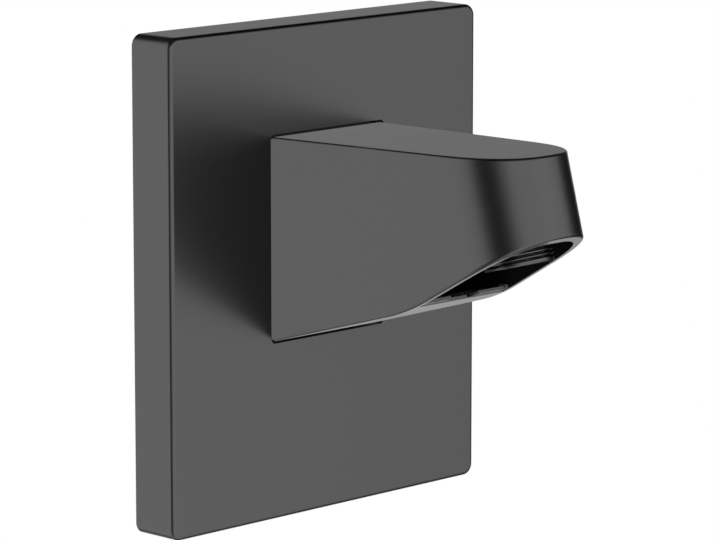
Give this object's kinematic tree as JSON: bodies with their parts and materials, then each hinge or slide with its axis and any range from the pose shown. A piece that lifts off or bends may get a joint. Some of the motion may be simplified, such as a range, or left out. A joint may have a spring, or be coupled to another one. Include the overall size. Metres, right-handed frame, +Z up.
{
  "type": "shower arm",
  "caption": "Wall-mounted shower arm: a deep tapering arm with a rounded nose and a downward hose outlet, on a rectangular escutcheon.",
  "frame": {"origin": "middle of the escutcheon and of the bolt pattern, on the wall plane", "axes": "+X to the right along the wall seen from the front, +Y into the wall, +Z up"},
  "size_m": [0.1304, 0.1244, 0.1502],
  "materials": {
    "satin_black": "satin dark grey to black coating",
    "black_rubber": "matt",
    "steel": "brushed",
    "brass": "machined",
    "black_plating": "dark plating on a threaded nipple",
    "grey_plastic": "moulded, matt"
  },
  "bodies": {
    "arm": {"arm_shell": "satin_black", "wall_bracket": "steel", "grub_screw": "steel", "inlet_nipple": "brass", "inlet_seal_ring": "black_rubber", "inlet_strainer": "steel", "inlet_o_rings": "black_rubber", "inlet_elbow": "brass", "elbow_screws": "steel", "water_tube": "brass", "tube_o_rings": "black_rubber", "outlet_block": "brass", "outlet_block_screws": "steel", "outlet_nipple": "black_plating", "outlet_o_ring": "black_rubber", "flow_limiter": "grey_plastic", "opening_insert": "grey_plastic"},
    "escutcheon": {"escutcheon": "satin_black", "escutcheon_seal": "black_rubber", "cutout_gasket": "black_rubber"}
  },
  "joints": [
    {"name": "escutcheon_slide", "type": "slide", "parent": "arm", "child": "escutcheon", "axis": [0, -1, 0], "range_m": [0, 0.02]}
  ]
}
